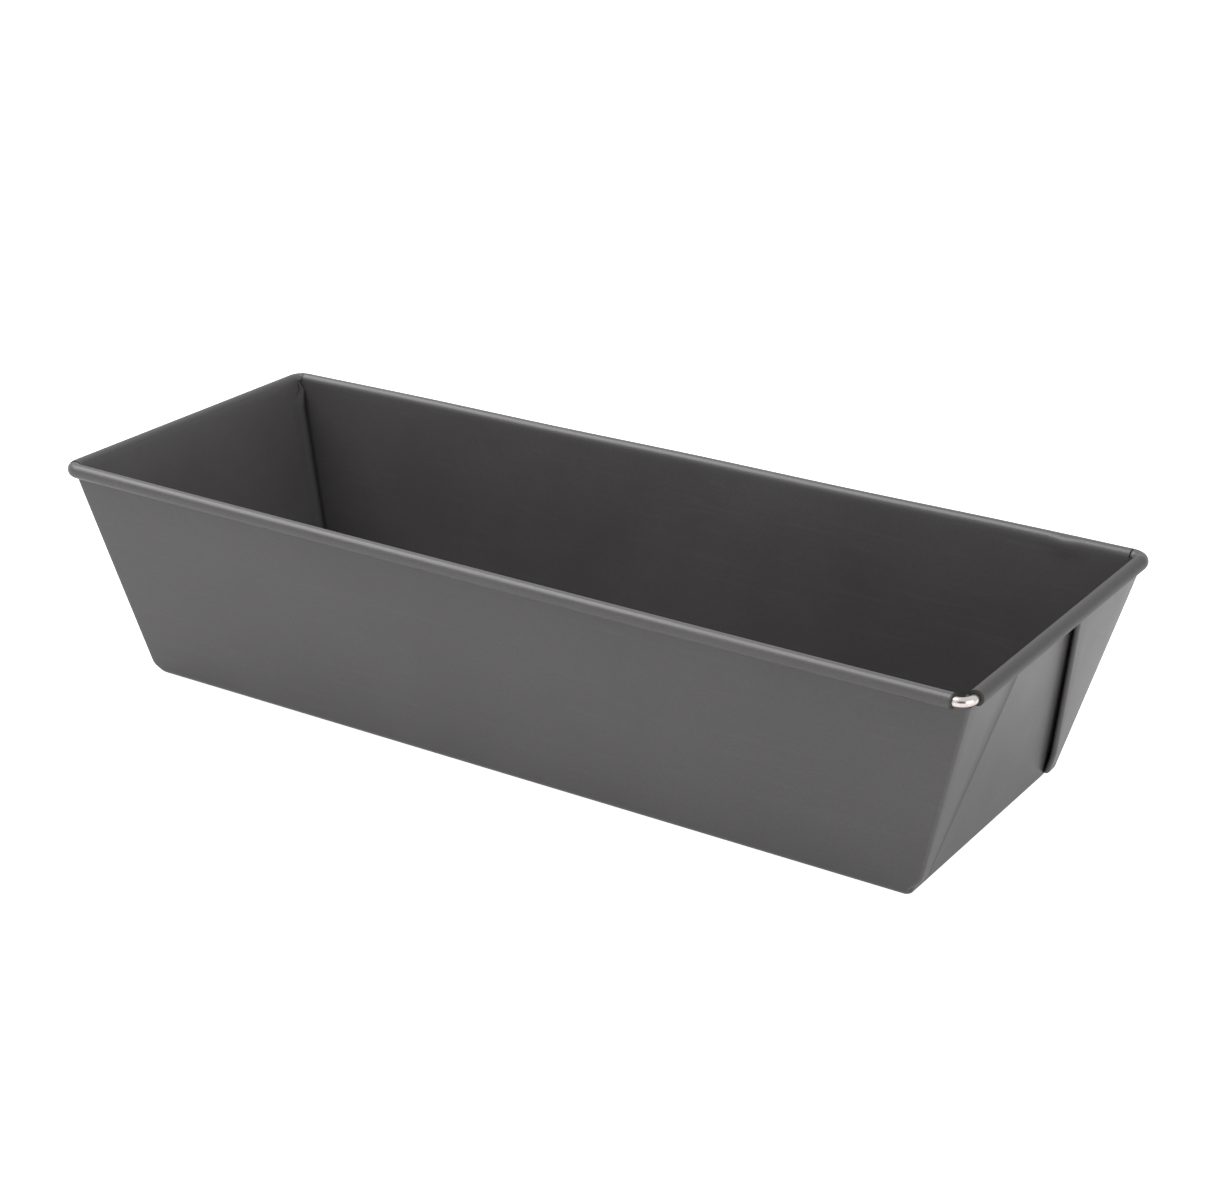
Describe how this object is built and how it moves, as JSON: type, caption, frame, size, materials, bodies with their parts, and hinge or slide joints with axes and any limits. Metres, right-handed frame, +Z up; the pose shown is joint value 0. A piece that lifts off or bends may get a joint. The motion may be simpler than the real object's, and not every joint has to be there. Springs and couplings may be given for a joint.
{
  "type": "loaf pan",
  "caption": "Long loaf pan folded from coated sheet steel, with flared walls, pleated ends and a rim hemmed over a steel wire.",
  "frame": {"origin": "centre of the bounding box's bottom face, which is the pan's base", "axes": "+X along the pan, +Y across it towards the wire's butt joint, +Z up out of the mouth"},
  "size_m": [0.3, 0.111, 0.068],
  "materials": {
    "nonstick_coating": "dark grey satin non-stick coating",
    "plated_wire": "bright plated steel"
  },
  "bodies": {
    "root": {"pan_body": "nonstick_coating", "rim_wire": "plated_wire"}
  },
  "joints": []
}
